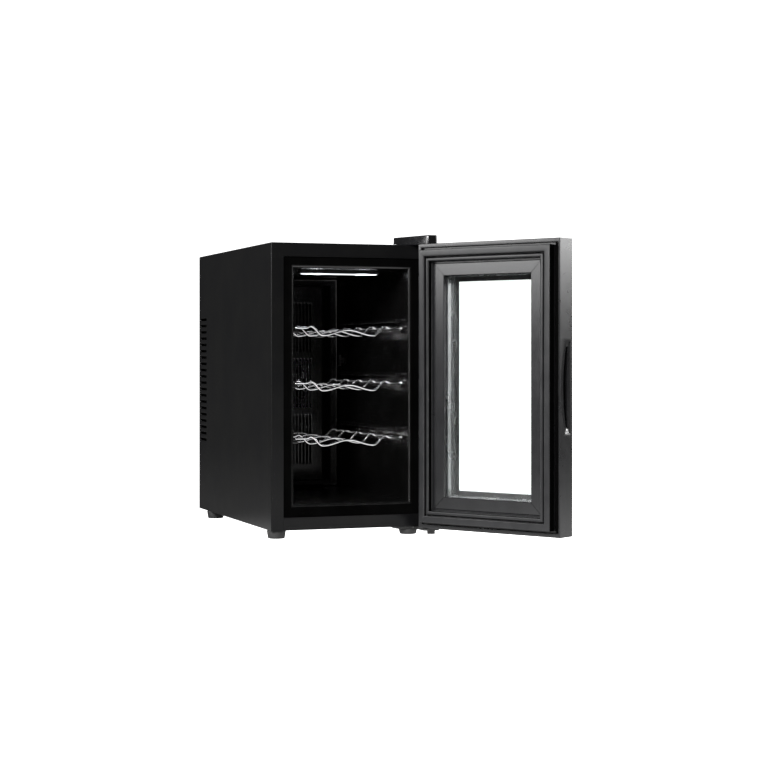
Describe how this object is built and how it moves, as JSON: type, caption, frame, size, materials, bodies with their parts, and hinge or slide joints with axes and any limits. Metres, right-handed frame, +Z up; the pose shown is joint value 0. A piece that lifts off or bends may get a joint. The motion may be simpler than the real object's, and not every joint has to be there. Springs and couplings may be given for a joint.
{
  "type": "wine cooler",
  "caption": "Free-standing thermoelectric wine cooler: insulated cabinet with sliding wire racks, cooling unit, fans and a hinged glass door that stands open.",
  "frame": {"origin": "centre of the base plate's underside", "axes": "+Z up, +Y from the front of the cabinet towards its back, +X to the right seen from the front, where the hinges are"},
  "size_m": [0.3811, 0.6766, 0.4505],
  "materials": {
    "painted_steel": "satin black powder coat",
    "liner_plastic": "glossy thermoformed black",
    "foam": "rigid foam",
    "black_plastic": "fine moulded texture",
    "gloss_plastic": "polished",
    "rubber": "matte",
    "gasket_rubber": "satin",
    "chrome": "bright",
    "aluminium": "mill",
    "zinc_steel": "zinc plated",
    "glass": "clear",
    "lamp_lens": "frosted",
    "white_ceramic": "ceramic",
    "circuit_board": "solder mask"
  },
  "bodies": {
    "cabinet": {"base_plate": "zinc_steel", "bottom_hinge_bracket": "zinc_steel", "bottom_hinge_pin": "zinc_steel", "bottom_hinge_screw_1": "zinc_steel", "bottom_hinge_screw_2": "zinc_steel", "cold_air_cover": "black_plastic", "cold_block": "aluminium", "cold_fan_frame": "black_plastic", "cold_sink": "aluminium", "foam_insulation": "foam", "foot_front_left": "rubber", "foot_front_right": "rubber", "foot_rear_left": "rubber", "foot_rear_right": "rubber", "hot_fan_frame": "black_plastic", "hot_sink": "aluminium", "inner_liner": "liner_plastic", "lamp_housing": "black_plastic", "lamp_lens": "lamp_lens", "led_board": "circuit_board", "outer_shell": "painted_steel", "peltier_module": "white_ceramic", "power_board": "circuit_board", "power_inlet": "black_plastic", "rear_cover": "painted_steel", "rear_screw_1": "zinc_steel", "rear_screw_2": "zinc_steel", "rear_screw_3": "zinc_steel", "rear_screw_4": "zinc_steel", "temperature_sensor": "black_plastic", "top_hinge_bracket": "zinc_steel", "top_hinge_cover": "gloss_plastic", "top_hinge_pin": "zinc_steel", "top_hinge_screw_1": "zinc_steel", "top_hinge_screw_2": "zinc_steel"},
    "door": {"door_frame": "black_plastic", "outer_glass": "glass", "middle_glass": "glass", "inner_glass": "glass", "outer_spacer": "aluminium", "inner_spacer": "aluminium", "trim_top": "black_plastic", "trim_bottom": "black_plastic", "trim_hinge_side": "black_plastic", "trim_handle_side": "black_plastic", "door_gasket": "gasket_rubber", "handle_insert": "black_plastic", "touch_display": "gloss_plastic", "control_board": "circuit_board", "top_hinge_bush": "black_plastic", "bottom_hinge_bush": "black_plastic"},
    "rack_top": {"rack_top": "chrome"},
    "rack_middle": {"rack_middle": "chrome"},
    "rack_bottom": {"rack_bottom": "chrome"},
    "cold_fan": {"cold_fan_rotor": "black_plastic"},
    "hot_fan": {"hot_fan_rotor": "black_plastic"}
  },
  "joints": [
    {"name": "door_hinge", "type": "hinge", "parent": "cabinet", "child": "door", "pos_m": [0.1145, -0.2458, 0], "axis": [0, 0, 1], "range_deg": [-121.4, 8.6]},
    {"name": "rack_top_slide", "type": "slide", "parent": "cabinet", "child": "rack_top", "axis": [0, -1, 0], "range_m": [0, 0.2]},
    {"name": "rack_middle_slide", "type": "slide", "parent": "cabinet", "child": "rack_middle", "axis": [0, -1, 0], "range_m": [0, 0.2]},
    {"name": "rack_bottom_slide", "type": "slide", "parent": "cabinet", "child": "rack_bottom", "axis": [0, -1, 0], "range_m": [0, 0.2]},
    {"name": "cold_fan_spin", "type": "hinge", "parent": "cabinet", "child": "cold_fan", "pos_m": [0, 0.0853, 0.213], "axis": [0, 1, 0], "continuous": true},
    {"name": "hot_fan_spin", "type": "hinge", "parent": "cabinet", "child": "hot_fan", "pos_m": [0, 0.1847, 0.213], "axis": [0, 1, 0], "continuous": true}
  ]
}
